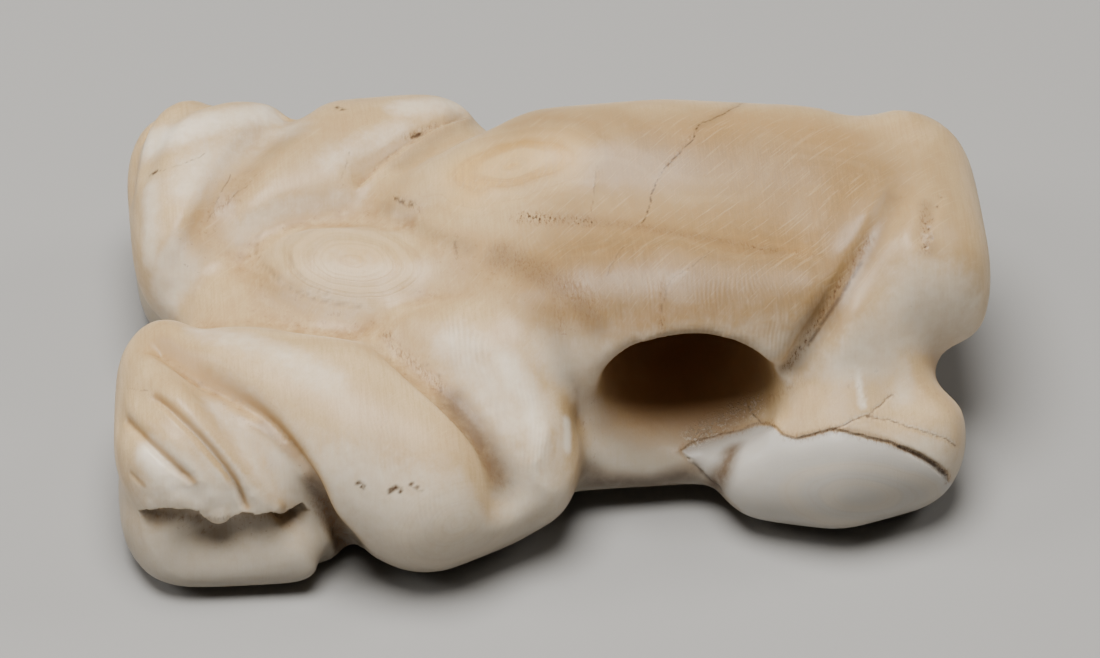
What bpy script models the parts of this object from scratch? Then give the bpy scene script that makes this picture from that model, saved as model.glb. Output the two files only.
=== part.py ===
"""A carved shell amulet: a creature crouching on its front, cut from one lump of thick sea shell.

X runs from the feet (-X) to the shoulders (+X), Y across the body and Z up from the
surface that the amulet lies on. The origin is at the middle of its underside. The near
side is the one at -Y.
"""

import math

import bmesh
import bpy
from mathutils import Euler, Vector
from mathutils.bvhtree import BVHTree
from mathutils.kdtree import KDTree

# Overall sizes, in metres
LENGTH = 0.050
WIDTH = 0.033
HEIGHT = 0.0163

# The tunnel through both flanks, bored from each side to a narrower waist
TUNNEL_MOUTH_LENGTH = 0.0108
TUNNEL_MOUTH_HEIGHT = 0.0092
TUNNEL_WAIST_LENGTH = 0.0076
TUNNEL_WAIST_HEIGHT = 0.0064
# The bar of shell left under the tunnel's mouths
BAR_HEIGHT = 0.0038

# The scoop in the outer face of each foot, under the toe tips
SCOOP_LENGTH = 0.0094
SCOOP_HEIGHT = 0.0032
SCOOP_DEPTH = 0.0024

# How fine the skin is while it is carved, and the triangles that the finished solid keeps
VOXEL = 0.00036
FINISHED_TRIANGLES = 9700

# The figure's places are written for a lump this long, wide and high, and stretch with it
DESIGN_SIZE = Vector((50.0, 31.5, 16.0))
STRETCH = Vector((LENGTH / DESIGN_SIZE.x, WIDTH / DESIGN_SIZE.y, HEIGHT / DESIGN_SIZE.z))
# Widths and depths of grooves go with the length
GROOVE_UNIT = STRETCH.x

# Sizes that follow are in the figure's own units
# What the last rubbing takes off the underside
UNDERSIDE_RUB = 0.5
# Where the tunnel crosses the body, and how far out its mouths are
TUNNEL_AT = 7.2
TUNNEL_MOUTH_OUT = 9.4
# How many times further out its cutter reaches, and the share of the section left at its tip
CUTTER_REACH = 1.22
CUTTER_TIP = 0.05
# Where each foot's scoop is, and its turn in degrees
SCOOP_AT = (-19.0, -15.4, 3.9)
SCOOP_TURN = -4.0
SCOOP_FULLNESS = 3.0

NEAR, FAR = 1, -1


def place(x, y, z):
    """A point of the figure, at the amulet's real size."""
    return Vector((x * STRETCH.x, y * STRETCH.y, z * STRETCH.z))


def full_sphere(mesh, fullness):
    """A ball of radius one, with fuller corners when fullness is above 2."""
    made = bmesh.ops.create_icosphere(mesh, subdivisions=4, radius=1.0)["verts"]
    for vert in made:
        vert.co /= sum(abs(c) ** fullness for c in vert.co) ** (1.0 / fullness)
    return made


def new_object(name, mesh, collection):
    """An object in a collection from an edit mesh, which is freed."""
    data = bpy.data.meshes.new(name)
    mesh.to_mesh(data)
    mesh.free()
    made = bpy.data.objects.new(name, data)
    collection.objects.link(made)
    return made


def mass(swellings, side=NEAR, fullness=2.0):
    """A mass of the body: the tight skin round a few swellings, each a centre and three radii."""
    mesh = bmesh.new()
    for (x, y, z), (long, wide, high) in swellings:
        for vert in full_sphere(mesh, fullness):
            vert.co = place(x + vert.co.x * long, y * side + vert.co.y * wide, z + vert.co.z * high)
    hull = bmesh.ops.convex_hull(mesh, input=mesh.verts)
    spare = [g for g in hull["geom_interior"] if isinstance(g, bmesh.types.BMVert)]
    bmesh.ops.delete(mesh, geom=spare, context="VERTS")
    data = bpy.data.meshes.new("mass")
    mesh.to_mesh(data)
    mesh.free()
    return data


def trunk():
    """The masses on the middle line."""
    return [
        # Core of the body, and the belly under it
        mass([((-17.0, 0, 4.4), (4.2, 6, 4.9)), ((16.0, 0, 6.5), (5, 6.5, 5.4))]),
        mass([((-4, 0, 1.7), (3, 8.0, 2.5)), ((13, 0, 1.7), (4, 8.0, 2.5))], fullness=2.3),
        # Rump with its oval boss
        mass([((-13.5, 0.2, 5.5), (5.0, 6.0, 4.9)), ((-6.0, 0, 6.3), (4.0, 5.5, 5.2))]),
        mass([((-12.8, 0.5, 7.4), (4.3, 3.9, 4.2)), ((-9.2, -0.4, 7.5), (4.3, 3.9, 4.3))]),
        # Back between the flanks, and the rounded right end
        mass([((-5, 0.2, 8.3), (3.2, 4.2, 4.4)), ((2, -0.6, 9.4), (5, 4.6, 5.0)),
              ((9, -1.4, 9.9), (5, 4.4, 5.1)), ((17.5, -1.2, 9.2), (4, 4.4, 5.3))]),
        mass([((19.0, 3.0, 9.2), (5.8, 5.2, 6.0)), ((19.0, -2.6, 9.6), (5.8, 5.2, 6.0))], fullness=2.6),
    ]


def near_limbs():
    """Sole, foot, shank and flank of the near side."""
    return [
        mass([((-20.5, -9.5, 1.9), (4.6, 6.4, 2.8)), ((-15.8, -10.6, 1.9), (3.6, 5.3, 2.8))], NEAR, 2.6),
        mass([((-21.9, -5.6, 6.6), (3.0, 4.3, 4.2)), ((-21.2, -9.7, 6.2), (4.0, 5.0, 4.8)),
              ((-16.0, -10.8, 5.0), (3.2, 4.0, 3.8))], NEAR),
        mass([((-18.5, -6.6, 6.6), (4.4, 4.0, 4.5)), ((-12.0, -9.4, 6.3), (4.0, 5.9, 5.2)),
              ((-7.9, -11.7, 4.6), (5.0, 5.4, 5.6)), ((-4.0, -10.6, 3.9), (3.6, 4.6, 4.6))], NEAR),
        mass([((-3.8, -2.8, 7.3), (3.6, 3.6, 4.2)), ((1.5, -4.4, 9.0), (4.6, 4.6, 5.3)),
              ((7.0, -5.2, 9.4), (5.0, 5.4, 6.0)), ((15.5, -5.8, 8.9), (5.0, 4.4, 5.4))], NEAR),
    ]


def far_limbs():
    """The same on the far side, where the foot is drawn in a little."""
    return [
        mass([((-19.0, -9.5, 1.9), (4.4, 6.4, 2.8)), ((-15.4, -10.6, 1.9), (3.6, 5.3, 2.8))], FAR, 2.6),
        mass([((-20.5, -5.2, 7.0), (3.0, 4.4, 4.5)), ((-19.6, -10.7, 7.2), (4.0, 5.2, 5.1)),
              ((-15.4, -11.0, 6.4), (3.6, 4.9, 5.2))], FAR),
        mass([((-17.0, -6.6, 6.8), (4.4, 4.0, 4.7)), ((-11.0, -9.8, 6.7), (4.4, 5.9, 5.3)),
              ((-6.4, -11.2, 5.4), (4.9, 5.3, 6.0)), ((-4.0, -10.6, 4.3), (3.8, 4.6, 5.0))], FAR),
        mass([((-8.0, -4.9, 8.3), (3.0, 3.0, 3.6)), ((0.5, -5.2, 9.3), (4.5, 5.2, 6.0)),
              ((7.0, -4.0, 9.6), (5.0, 6.4, 6.4)), ((15.5, -3.0, 9.6), (5.0, 6.4, 6.0))], FAR),
    ]


def paired_limbs(side):
    """Thigh, arm, and the bar with its thick root that links them, alike on both sides."""
    return [
        mass([((-8.0, -4.8, 7.2), (3.4, 3.0, 3.9)), ((-3.6, -6.6, 6.6), (3.6, 4.3, 5.1)),
              ((-2.2, -10.6, 4.6), (3.2, 4.1, 4.4))], side),
        mass([((16.8, -6.0, 8.0), (3.4, 3.4, 3.8)), ((11.6, -9.9, 2.8), (3.4, 4.0, 3.5)),
              ((15.4, -10.2, 3.8), (4.0, 5.0, 4.9)), ((19.5, -9.5, 3.7), (3.4, 4.5, 4.6))], side),
        mass([((-3.0, -8.8, 2.2), (2.0, 1.8, 1.7)), ((13.0, -8.8, 2.2), (2.0, 1.8, 1.7))], side),
        mass([((-1.5, -8.0, 3.6), (2.6, 2.2, 3.0)), ((3.4, -8.4, 2.6), (2.2, 1.9, 2.1))], side),
    ]


def joined(name, masses, collection):
    """All the masses in one object."""
    mesh = bmesh.new()
    for data in masses:
        mesh.from_mesh(data)
        bpy.data.meshes.remove(data)
    return new_object(name, mesh, collection)


def settle(made):
    """Replace the mesh by what its modifiers make of it."""
    graph = bpy.context.evaluated_depsgraph_get()
    data = bpy.data.meshes.new_from_object(made.evaluated_get(graph))
    made.modifiers.clear()
    old = made.data
    made.data = data
    bpy.data.meshes.remove(old)


def fuse_and_rub(made, passes):
    """Melt overlapping lumps into one skin, and rub it smooth."""
    fuse = made.modifiers.new("fuse", "REMESH")
    fuse.mode = "VOXEL"
    fuse.voxel_size = VOXEL
    rub = made.modifiers.new("rub", "SMOOTH")
    rub.factor = 0.5
    rub.iterations = passes
    settle(made)


def fit_to_size(made):
    """Bring the rubbed lump to its overall sizes, with a little under the floor still to take off."""
    places = [vert.co for vert in made.data.vertices]
    low = Vector(min(co[i] for co in places) for i in range(3))
    high = Vector(max(co[i] for co in places) for i in range(3))
    want_low = Vector((-LENGTH / 2, -WIDTH / 2, -UNDERSIDE_RUB * STRETCH.z))
    want_high = Vector((LENGTH / 2, WIDTH / 2, HEIGHT))
    for vert in made.data.vertices:
        share = [(vert.co[i] - low[i]) / (high[i] - low[i]) for i in range(3)]
        vert.co = Vector(want_low[i] + share[i] * (want_high[i] - want_low[i]) for i in range(3))


def along(points, step):
    """Points about a step apart on a smooth curve through the given ones."""
    found = []
    last = len(points) - 1
    for i in range(last):
        start, end = points[i], points[i + 1]
        before = points[max(i - 1, 0)]
        after = points[min(i + 2, last)]
        count = max(2, math.ceil((end - start).length / step))
        for k in range(count):
            t = k / count
            bend = 2 * before - 5 * start + 4 * end - after
            twist = 3 * start - before - 3 * end + after
            found.append(start + 0.5 * ((end - before) * t + bend * t ** 2 + twist * t ** 3))
    found.append(points[last])
    return found


def stroke(made, path, width, depth_start, depth_end, side=NEAR):
    """Press a groove into the skin along a path, to one depth at its start and another at its end."""
    mesh = bmesh.new()
    mesh.from_mesh(made.data)
    mesh.normal_update()
    skin = BVHTree.FromBMesh(mesh)
    reach = width * GROOVE_UNIT
    marks = [skin.find_nearest(place(x, y * side, z))[0] for x, y, z in path]
    route = along(marks, reach / 4)
    nearest = KDTree(len(route))
    for index, point in enumerate(route):
        nearest.insert(skin.find_nearest(point)[0], index)
    nearest.balance()
    moves = []
    for vert in mesh.verts:
        _, index, distance = nearest.find(vert.co)
        if distance < reach:
            depth = depth_start + (depth_end - depth_start) * index / (len(route) - 1)
            fade = (1 - (distance / reach) ** 2) ** 2
            moves.append((vert, vert.normal * (-depth * GROOVE_UNIT * fade)))
    for vert, move in moves:
        vert.co += move
    mesh.to_mesh(made.data)
    mesh.free()


def carve_limbs(made):
    """The grooves that part feet, shanks, thighs, back and shoulders."""
    # Foot from shank, near and far
    stroke(made, [(-22.6, -4.3, 9.9), (-20.0, -7.9, 10.2), (-16.9, -11.4, 8.2), (-15.3, -12.6, 6.3),
                  (-12.7, -13.2, 2.0), (-12.2, -13.6, 0.0)], 1.8, 0.8, 1.3)
    stroke(made, [(-21.2, 0.7, 8.5), (-18.5, 4.4, 10.5), (-15.5, 9.5, 11.5), (-13.2, 13.6, 10.0),
                  (-11.6, 15.3, 5.0), (-11.2, 15.3, 0.5)], 1.7, 0.6, 0.6)
    # Shank from thigh, near and far
    stroke(made, [(-11.4, -4.3, 9.6), (-8.7, -6.6, 9.5), (-6.5, -9.3, 9.0), (-3.7, -12.8, 5.9)], 2.2, 0.1, 1.2)
    stroke(made, [(-10.0, 4.7, 11.5), (-6.0, 8.5, 11.0), (-2.8, 11.3, 10.0), (-1.5, 13.0, 6.0)], 2.0, 0.7, 0.4)
    # The two grooves that run back from the shoulders and meet on the middle line
    stroke(made, [(20.2, -0.6, 14.7), (18.4, -3.9, 14.7), (14.6, -7.9, 11.7), (13.0, -8.9, 9.6)], 1.6, 0.3, 1.3)
    stroke(made, [(19.8, 0.6, 14.5), (17.9, 7.3, 12.5), (15.5, 9.8, 9.0)], 1.9, 0.1, 0.8)
    # The shallow line of the spine, which drifts to the near side
    stroke(made, [(-4.0, 0.0, 12.5), (-2.0, -0.1, 13.5), (8.1, -2.4, 13.6), (16.0, -3.4, 14.0)], 2.6, 0.4, 0.1)
    # Shoulder from arm, at the right end
    for side in (NEAR, FAR):
        stroke(made, [(23.5, -3.8, 5.8), (21.3, -6.2, 6.6), (18.5, -9.6, 8.2)], 2.6, 1.2, 0.4, side)
    # Round the boss, open towards the back
    turns = [math.radians(50 + 20 * k) for k in range(14)]
    stroke(made, [(-11.5 + 6.2 * math.cos(t), 0.3 + 4.2 * math.sin(t) - 0.6 * math.cos(t), 10.5) for t in turns],
           1.3, 0.4, 0.4)


def carve_toes(made):
    """The shallow grooves between the toes of both feet, which sit further in on the far foot."""
    for side, shift in ((NEAR, 0.0), (FAR, 1.7)):
        stroke(made, [(-23.3 + shift, -8.3, 10.2), (-22.0 + shift, -10.5, 10.5), (-20.5 + shift, -11.9, 9.8),
                      (-19.3 + shift, -12.7, 8.2), (-18.2 + shift, -13.2, 6.3)], 1.1, 0.35, 0.5, side)
        stroke(made, [(-24.5 + shift, -8.7, 8.7), (-23.0 + shift, -11.0, 9.5), (-21.5 + shift, -12.5, 8.8),
                      (-20.7 + shift, -13.1, 7.2)], 1.1, 0.35, 0.5, side)


def tunnel_cutter(collection):
    """A rod along Y, oval in section, which swells from its waist to its mouths and is round-ended."""
    mesh = bmesh.new()
    bmesh.ops.create_cone(mesh, cap_ends=True, segments=64, radius1=1.0, radius2=1.0, depth=2.0)
    sides = [e for e in mesh.edges if abs(e.verts[0].co.z - e.verts[1].co.z) > 1.0]
    bmesh.ops.subdivide_edges(mesh, edges=sides, cuts=39)
    centre = place(TUNNEL_AT, 0, 0) + Vector((0, 0, BAR_HEIGHT + TUNNEL_MOUTH_HEIGHT / 2))
    mouth_out = TUNNEL_MOUTH_OUT * STRETCH.y
    for vert in mesh.verts:
        across, up, run = vert.co.x, vert.co.y, vert.co.z * CUTTER_REACH
        flare = min(1.0, run ** 2)
        length = TUNNEL_WAIST_LENGTH + (TUNNEL_MOUTH_LENGTH - TUNNEL_WAIST_LENGTH) * flare
        height = TUNNEL_WAIST_HEIGHT + (TUNNEL_MOUTH_HEIGHT - TUNNEL_WAIST_HEIGHT) * flare
        # Past the mouth the rod rounds off towards its top, clear of knee and arm
        past = max(0.0, abs(run) - 1.0) / (CUTTER_REACH - 1.0)
        round_off = max(CUTTER_TIP, math.sqrt(max(0.0, 1.0 - past ** 2)))
        lift = (1.0 - round_off) * height / 2
        vert.co = centre + Vector((across * round_off * length / 2, -run * mouth_out,
                                   up * round_off * height / 2 + lift))
    return new_object("tunnel_cutter", mesh, collection)


def scoop_cutter(side, collection):
    """A full, flattened ball that hollows the outer face of a foot below its toe tips."""
    mesh = bmesh.new()
    x, y, z = SCOOP_AT
    centre = place(x, y * side, z)
    turn = Euler((0.0, 0.0, math.radians(SCOOP_TURN * side))).to_matrix()
    for vert in full_sphere(mesh, SCOOP_FULLNESS):
        reach = Vector((vert.co.x * SCOOP_LENGTH / 2, vert.co.y * SCOOP_DEPTH, vert.co.z * SCOOP_HEIGHT / 2))
        vert.co = centre + turn @ reach
    return new_object("scoop_cutter", mesh, collection)


def cut(made, cutter):
    """Take a cutter's shape out of the amulet."""
    away = made.modifiers.new("cut", "BOOLEAN")
    away.operation = "DIFFERENCE"
    away.solver = "EXACT"
    away.object = cutter
    bpy.context.view_layer.update()
    settle(made)
    cutter.hide_render = True
    cutter.display_type = "WIRE"


def thin_out(made):
    """Keep only the triangles that the form needs."""
    count = sum(len(face.vertices) - 2 for face in made.data.polygons)
    fewer = made.modifiers.new("fewer", "DECIMATE")
    fewer.ratio = min(1.0, FINISHED_TRIANGLES / count)
    settle(made)


def lie_flat(made):
    """Rub the underside flat where it meets the floor."""
    mesh = bmesh.new()
    mesh.from_mesh(made.data)
    below = bmesh.ops.bisect_plane(mesh, geom=mesh.verts[:] + mesh.edges[:] + mesh.faces[:],
                                   plane_co=(0, 0, 0), plane_no=(0, 0, -1), clear_outer=True)
    rim = [g for g in below["geom_cut"] if isinstance(g, bmesh.types.BMEdge)]
    bmesh.ops.edgenet_fill(mesh, edges=rim)
    bmesh.ops.triangulate(mesh, faces=mesh.faces)
    bmesh.ops.recalc_face_normals(mesh, faces=mesh.faces)
    mesh.to_mesh(made.data)
    mesh.free()


def polished_shell():
    """Cream shell with a soft polish."""
    shell = bpy.data.materials.new("polished_shell")
    shell.use_nodes = True
    skin = shell.node_tree.nodes["Principled BSDF"]
    skin.inputs["Base Color"].default_value = (0.57, 0.42, 0.25, 1.0)
    skin.inputs["Roughness"].default_value = 0.35
    skin.inputs["Metallic"].default_value = 0.0
    return shell


def main():
    """Block out, rub, carve, bore and lay the amulet down."""
    for made in list(bpy.data.objects):
        bpy.data.objects.remove(made)
    parts = bpy.data.collections.new("carved_shell_amulet")
    cutters = bpy.data.collections.new("cutters")
    for collection in (parts, cutters):
        bpy.context.scene.collection.children.link(collection)
    lumps = trunk() + near_limbs() + far_limbs() + paired_limbs(NEAR) + paired_limbs(FAR)
    amulet = joined("shell_amulet", lumps, parts)
    fuse_and_rub(amulet, 14)
    fit_to_size(amulet)
    carve_limbs(amulet)
    for cutter in (tunnel_cutter(cutters), scoop_cutter(NEAR, cutters), scoop_cutter(FAR, cutters)):
        cut(amulet, cutter)
    fuse_and_rub(amulet, 5)
    carve_toes(amulet)
    thin_out(amulet)
    lie_flat(amulet)
    amulet.data.materials.append(polished_shell())
    amulet.data.shade_smooth()


main()
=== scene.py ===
# %% [markdown]
# # A carved shell amulet
# The real object is a lump of thick sea shell, about 50 mm long, carved as a creature that
# crouches on its front with folded legs. A wide tunnel through both flanks takes a cord. This
# script dresses the solid of the CAD model: it keeps its form, sharpens the carving, opens the
# cracks and lays down the growth rings, the brown stains and the polish of old shell.

import math

import bpy
import numpy as np
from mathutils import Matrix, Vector
from mathutils.bvhtree import BVHTree


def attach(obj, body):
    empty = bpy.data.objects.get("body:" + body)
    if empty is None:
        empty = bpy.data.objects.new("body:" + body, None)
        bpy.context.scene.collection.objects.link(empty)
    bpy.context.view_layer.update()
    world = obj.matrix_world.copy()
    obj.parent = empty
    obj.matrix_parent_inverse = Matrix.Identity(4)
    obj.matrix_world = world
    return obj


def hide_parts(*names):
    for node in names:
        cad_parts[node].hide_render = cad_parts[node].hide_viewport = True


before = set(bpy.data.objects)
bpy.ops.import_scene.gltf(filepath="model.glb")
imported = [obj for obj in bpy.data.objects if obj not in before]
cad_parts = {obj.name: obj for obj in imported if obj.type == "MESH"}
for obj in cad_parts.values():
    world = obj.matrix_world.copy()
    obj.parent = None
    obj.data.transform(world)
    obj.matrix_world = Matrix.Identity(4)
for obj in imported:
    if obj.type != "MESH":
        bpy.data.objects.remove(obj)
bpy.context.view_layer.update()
SOLID = "shell_amulet"

# %% [markdown]
# ## The camera
# The photo looks down at about 45 degrees on the near flank, from far away with a long lens, so
# that near and far parts look almost equally big. The camera stands the same way, and it comes
# first because the marks on the shell are found through it.

# %% Stand the camera where the photo was taken
MM = 0.001
PHOTO_WIDTH = 1100
PHOTO_HEIGHT = 658
PIXELS_PER_MM = 17.35
ORIGIN_PIXEL = (546, 392)
CAMERA_AZIMUTH = math.radians(-4.7)
CAMERA_ELEVATION = math.radians(45.0)
CAMERA_DISTANCE = 0.400
SENSOR = 36.0
NEAR_CLIP = 0.01

towards_camera = Vector((
    math.sin(CAMERA_AZIMUTH) * math.cos(CAMERA_ELEVATION),
    -math.cos(CAMERA_AZIMUTH) * math.cos(CAMERA_ELEVATION),
    math.sin(CAMERA_ELEVATION),
))
camera_turn = towards_camera.to_track_quat("Z", "Y")
bpy.ops.object.camera_add(location=towards_camera * CAMERA_DISTANCE, rotation=camera_turn.to_euler())
camera = bpy.context.object
camera.name = "photo_camera"
camera.data.sensor_width = SENSOR
camera.data.lens = SENSOR * CAMERA_DISTANCE / (PHOTO_WIDTH / PIXELS_PER_MM * MM)
camera.data.shift_x = (PHOTO_WIDTH / 2 - ORIGIN_PIXEL[0]) / PHOTO_WIDTH
camera.data.shift_y = (ORIGIN_PIXEL[1] - PHOTO_HEIGHT / 2) / PHOTO_WIDTH
camera.data.clip_start = NEAR_CLIP
bpy.context.scene.camera = camera
print("lens", round(camera.data.lens, 1), "mm")

# %% [markdown]
# ## The skin
# The solid is a mesh of large triangles. Polished shell has no facets, so a copy is merged,
# softened by a subdivision, and made a fine, even skin by a voxel remesh. The remesh is what
# a sculptor uses before fine work: every part of the surface then has the same fineness.

# %% Make a fine skin from a copy of the solid
SKIN_VOXEL = 0.295 * MM
MERGE_DISTANCE = 0.001 * MM
RUB_FACTOR = 0.5
RUB_PASSES = 5


def choose(thing):
    """Select one object and nothing else."""
    bpy.ops.object.select_all(action="DESELECT")
    thing.select_set(True)
    bpy.context.view_layer.objects.active = thing


def apply_all(thing):
    """Apply an object's modifiers in their order."""
    choose(thing)
    for name in [modifier.name for modifier in thing.modifiers]:
        bpy.ops.object.modifier_apply(modifier=name)


choose(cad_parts[SOLID])
bpy.ops.object.duplicate()
skin = bpy.context.object
skin.name = "carved_shell"
skin.data.name = "carved_shell"
skin.parent = None
skin.data.materials.clear()
choose(skin)
bpy.ops.object.mode_set(mode="EDIT")
bpy.ops.mesh.select_all(action="SELECT")
bpy.ops.mesh.remove_doubles(threshold=MERGE_DISTANCE)
bpy.ops.object.mode_set(mode="OBJECT")
print("solid:", len(skin.data.polygons), "triangles")

soften = skin.modifiers.new("soften", "SUBSURF")
soften.levels = 1
soften.render_levels = 1
refine = skin.modifiers.new("refine", "REMESH")
refine.mode = "VOXEL"
refine.voxel_size = SKIN_VOXEL
rub = skin.modifiers.new("rub", "SMOOTH")
rub.factor = RUB_FACTOR
rub.iterations = RUB_PASSES
apply_all(skin)
print("skin:", len(skin.data.polygons), "faces")

# %% [markdown]
# ## Finding places on the skin
# Marks on the near side are placed by the pixel of the photo in which they show: a ray from the
# camera through that pixel meets the skin there. A crack strays a little from its course,
# because shell breaks from layer to layer. Marks on the far side are mirrored from these.

# %% Follow a line over the skin
STEP = 0.08 * MM
PIXEL_STEP = STEP / MM * PIXELS_PER_MM
STRAY_PIXELS = 0.7
STRAY_WAVES = (0.57, 0.29, 0.13)
EVEN_WIDTH = 9
EVEN_STEP = 5
NEVER_ZERO = 1e-9


def skin_tree():
    """A search tree of the skin as it is now."""
    return BVHTree.FromObject(skin, bpy.context.evaluated_depsgraph_get())


def curve_through(points, step):
    """Points about a step apart on a smooth curve through the given ones."""
    points = np.array(points, float)
    padded = np.vstack([points[:1], points, points[-1:]])
    found = []
    for i in range(len(points) - 1):
        before, start, end, after = padded[i:i + 4]
        count = max(2, math.ceil(np.linalg.norm(end - start) / step))
        for t in np.arange(count) / count:
            bend = 2 * before - 5 * start + 4 * end - after
            twist = 3 * start - before - 3 * end + after
            found.append(start + 0.5 * ((end - before) * t + bend * t ** 2 + twist * t ** 3))
    found.append(points[-1])
    return np.array(found)


def seen(pixels, tree):
    """The line over the skin that shows along these pixels of the photo."""
    line = []
    for x, y in curve_through(pixels, PIXEL_STEP):
        across = ((x - PHOTO_WIDTH / 2) / PHOTO_WIDTH + camera.data.shift_x) * SENSOR / camera.data.lens
        up = ((PHOTO_HEIGHT / 2 - y) / PHOTO_WIDTH + camera.data.shift_y) * SENSOR / camera.data.lens
        ray = camera_turn @ Vector((across, up, -1.0))
        hit = tree.ray_cast(towards_camera * CAMERA_DISTANCE, ray)[0]
        if hit is not None:
            line.append(hit)
    return np.array(line)


def ragged(pixels, tree):
    """The same for a crack, which strays a little from its course on both sides."""
    course = curve_through(pixels, PIXEL_STEP)
    count = np.arange(len(course))
    starts = (course[0, 0], course[0, 1], 0.0)
    stray = sum(np.sin(wave * count + start) for wave, start in zip(STRAY_WAVES, starts))
    ahead = np.gradient(course, axis=0)
    across = ahead[:, ::-1] * (1, -1) / (np.linalg.norm(ahead, axis=1)[:, None] + NEVER_ZERO)
    return seen(course + across * (STRAY_PIXELS / 2 * stray)[:, None], tree)


def evened(line):
    """The line without its small jumps, for places that the camera sees at a flat angle."""
    half = EVEN_WIDTH // 2
    padded = np.pad(line, ((half, half), (0, 0)), mode="edge")
    window = np.ones(EVEN_WIDTH) / EVEN_WIDTH
    mean = np.stack([np.convolve(padded[:, axis], window, "valid") for axis in range(3)], axis=1)
    return curve_through(np.vstack([mean[::EVEN_STEP], mean[-1:]]), STEP)


def spot(x, y):
    """A line one pixel long, for a mark at one place."""
    return [(x, y), (x + 1, y)]


tree = skin_tree()
print("the boss shows at", [round(1000 * c, 1) for c in seen(spot(350, 262), tree)[0]], "mm")

# %% [markdown]
# ## The lines of the carving
# Each line is written as the few pixels of the photo through which it runs. Carved grooves are
# long and smooth, while the cracks wander, because they follow the layers of the shell.

# %% Name the lines that show in the photo
TOE_GROOVES = [
    [(150, 397), (169, 411), (203, 445), (231, 481), (246, 511)],
    [(124, 421), (143, 440), (169, 464), (193, 484)],
    [(128, 472), (142, 486)],
]
FOOT_GROOVE = [
    (148, 344), (196, 380), (231, 400), (263, 422), (289, 450), (312, 483), (329, 518), (343, 548),
]
TOE_TIPS = [
    (138, 512), (157, 510), (179, 509), (194, 512), (207, 521), (219, 524), (230, 520),
    (240, 516), (256, 516), (272, 514), (283, 515), (292, 510), (303, 503),
]
KNEE_VALLEY = [(372, 338), (410, 375), (444, 406), (470, 432), (488, 456), (500, 484)]
SHOULDER_GROOVE = [(908, 176), (888, 203), (868, 239), (845, 279), (825, 312), (805, 340), (782, 374)]
FAR_SHANK_GROOVE = [(484, 114), (448, 122), (419, 138), (389, 159), (368, 177), (354, 190)]
FAR_FOOT_GROOVE = [(297, 108), (271, 131), (239, 158), (218, 187), (202, 219), (180, 254), (167, 278)]
BOSS_RING = [(262, 228), (256, 250), (270, 271), (293, 289), (328, 302), (360, 306)]
SPINE = [(513, 218), (553, 218), (590, 221), (639, 226), (712, 239), (762, 249), (812, 256)]
SEAM = [
    (681, 450), (689, 445), (710, 437), (740, 430), (757, 424), (772, 425), (782, 434), (796, 438),
    (809, 436), (822, 432), (831, 430), (844, 431), (865, 437), (890, 443), (916, 454), (935, 465),
    (946, 474), (948, 481),
]
OPEN_END = [(898, 446), (920, 456), (936, 466), (946, 475)]
FACET_EDGE = [(721, 488), (708, 478), (696, 466), (686, 455), (681, 449)]
SIDE_CRACKS = [
    [(748, 406), (754, 415), (760, 423)],
    [(893, 394), (885, 400), (876, 408), (868, 415), (855, 419), (848, 424), (831, 430)],
    [(866, 417), (881, 419), (897, 423), (919, 430), (940, 437), (956, 446)],
]
HAIR_CRACKS = [
    [(745, 101), (725, 113), (699, 126), (692, 140), (672, 160), (656, 183), (649, 206), (643, 223)],
    [(709, 252), (692, 266), (676, 276), (667, 289), (661, 312), (662, 329)],
    [(623, 246), (613, 262), (606, 276)],
    [(596, 163), (594, 190), (591, 213)],
    [(389, 333), (390, 345), (390, 364)],
    [(349, 152), (345, 168), (341, 179), (344, 185)],
    [(231, 175), (221, 192), (215, 208), (208, 222)],
    [(250, 184), (234, 195), (228, 203)],
    [(156, 172), (178, 166), (204, 154)],
    [(113, 389), (130, 389), (148, 391)],
]
PIT_HOLLOW = [(918, 246), (924, 225), (938, 198)]
PITS = [(941, 197), (937, 207), (932, 219), (928, 229), (931, 238), (925, 247)]
print("toe cuts:", len(TOE_GROOVES), "hair cracks:", len(HAIR_CRACKS), "pits:", len(PITS))

# %% [markdown]
# ## Broad forms
# Set against the photo, the hollow behind the boss is a touch deeper, and the floor of the gap
# beside the near foot comes further out. Two broad, soft strokes shift these forms by less than
# half a millimetre, while the skin is still even, as a thumb would in clay.

# %% Swell and sink the broad forms
def corner_places():
    """The places of the skin's vertices, one in each row."""
    flat = np.empty(3 * len(skin.data.vertices))
    skin.data.vertices.foreach_get("co", flat)
    return flat.reshape(-1, 3)


def surface_normals():
    """The outward direction at each vertex of the skin."""
    flat = np.empty(3 * len(skin.data.vertices))
    skin.data.vertex_normals.foreach_get("vector", flat)
    return flat.reshape(-1, 3)


def near_line(places, line, reach):
    """The places within reach of a line: their rows, nearest points of the line and distances."""
    low = line.min(0) - reach
    high = line.max(0) + reach
    rows = np.flatnonzero(((places > low) & (places < high)).all(1))
    gaps = np.linalg.norm(places[rows, None, :] - line[None, :, :], axis=2)
    nearest = gaps.argmin(1)
    gap = gaps[np.arange(len(rows)), nearest]
    close = gap < reach
    return rows[close], nearest[close], gap[close]


def swell(pixels, reach, height):
    """Raise the skin softly along a line, or sink it where height is negative, in millimetres."""
    line = seen(pixels, tree)
    places = corner_places()
    rows, nearest, gap = near_line(places, line, reach * MM)
    profile = (1 - (gap / (reach * MM)) ** 2) ** 2
    places[rows] += surface_normals()[rows] * (height * MM * profile)[:, None]
    skin.data.vertices.foreach_set("co", places.ravel())
    skin.data.update()


BROAD_FORMS = [
    ([(430, 235), (470, 262)], 2.4, -0.10),  # hollow behind the boss
    ([(324, 540), (332, 556)], 1.5, 0.45),  # floor of the gap beside the near foot
]
for pixels, reach, height in BROAD_FORMS:
    swell(pixels, reach, height)
tree = skin_tree()
print("broad strokes:", len(BROAD_FORMS))

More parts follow.
